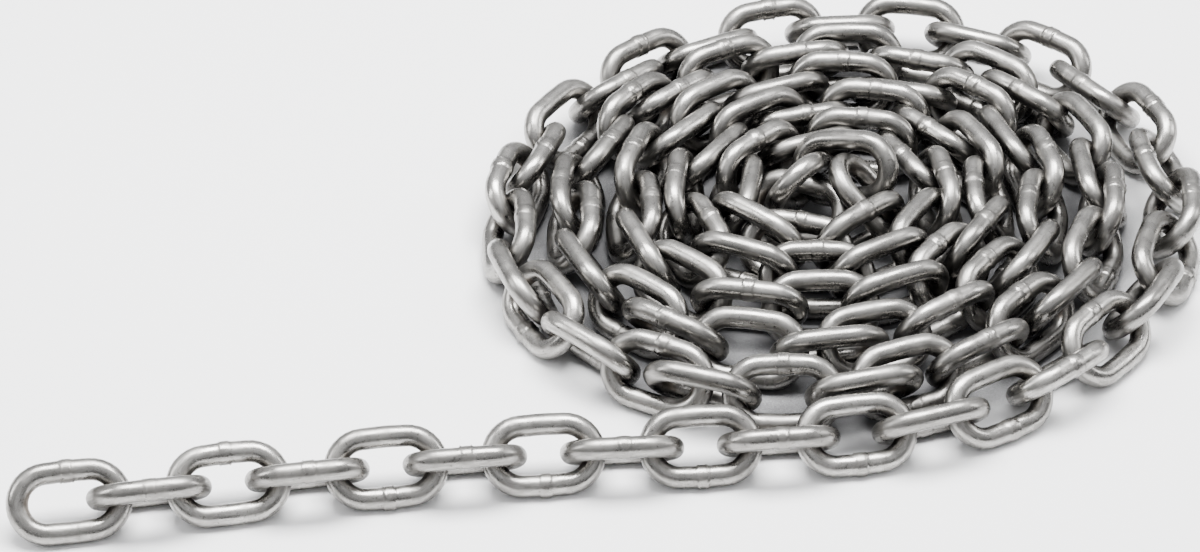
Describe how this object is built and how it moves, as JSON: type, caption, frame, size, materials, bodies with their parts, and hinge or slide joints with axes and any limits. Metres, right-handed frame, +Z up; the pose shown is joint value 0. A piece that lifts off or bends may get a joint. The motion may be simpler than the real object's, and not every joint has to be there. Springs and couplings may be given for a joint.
{
  "type": "coil of steel chain",
  "caption": "Bare short-link steel chain laid on the floor as a flat spiral coil with a straight tail.",
  "frame": {"origin": "on the floor, under the middle of the chain's box", "axes": "+X along the tail's length from its free end towards the coil, +Y to the coil's far side, +Z up"},
  "size_m": [0.4492, 0.3226, 0.0396],
  "materials": {
    "steel": "bare, tumbled to a satin grey, with faint brown stains at the bends"
  },
  "bodies": {
    "root": {"end_link": "steel", "link_02": "steel", "link_03": "steel", "link_04": "steel", "link_05": "steel", "link_06": "steel", "link_07": "steel", "link_08": "steel", "link_09": "steel", "link_10": "steel", "link_11": "steel", "link_12": "steel", "link_13": "steel", "link_14": "steel", "link_15": "steel", "link_16": "steel", "link_17": "steel", "link_18": "steel", "link_19": "steel", "link_20": "steel", "link_21": "steel", "link_22": "steel", "link_23": "steel", "link_24": "steel", "link_25": "steel", "link_26": "steel", "link_27": "steel", "link_28": "steel", "run_01": "steel", "run_02": "steel", "run_03": "steel", "run_04": "steel", "run_05": "steel", "run_06": "steel", "run_07": "steel", "run_08": "steel", "run_09": "steel", "run_10": "steel", "run_11": "steel", "run_12": "steel", "run_13": "steel", "run_14": "steel", "run_15": "steel", "run_16": "steel", "run_17": "steel", "run_18": "steel", "run_19": "steel", "run_20": "steel", "run_21": "steel", "run_22": "steel", "run_23": "steel", "run_24": "steel", "run_25": "steel", "run_26": "steel", "run_27": "steel", "link_109": "steel", "link_110": "steel", "link_111": "steel", "link_112": "steel"}
  },
  "joints": []
}
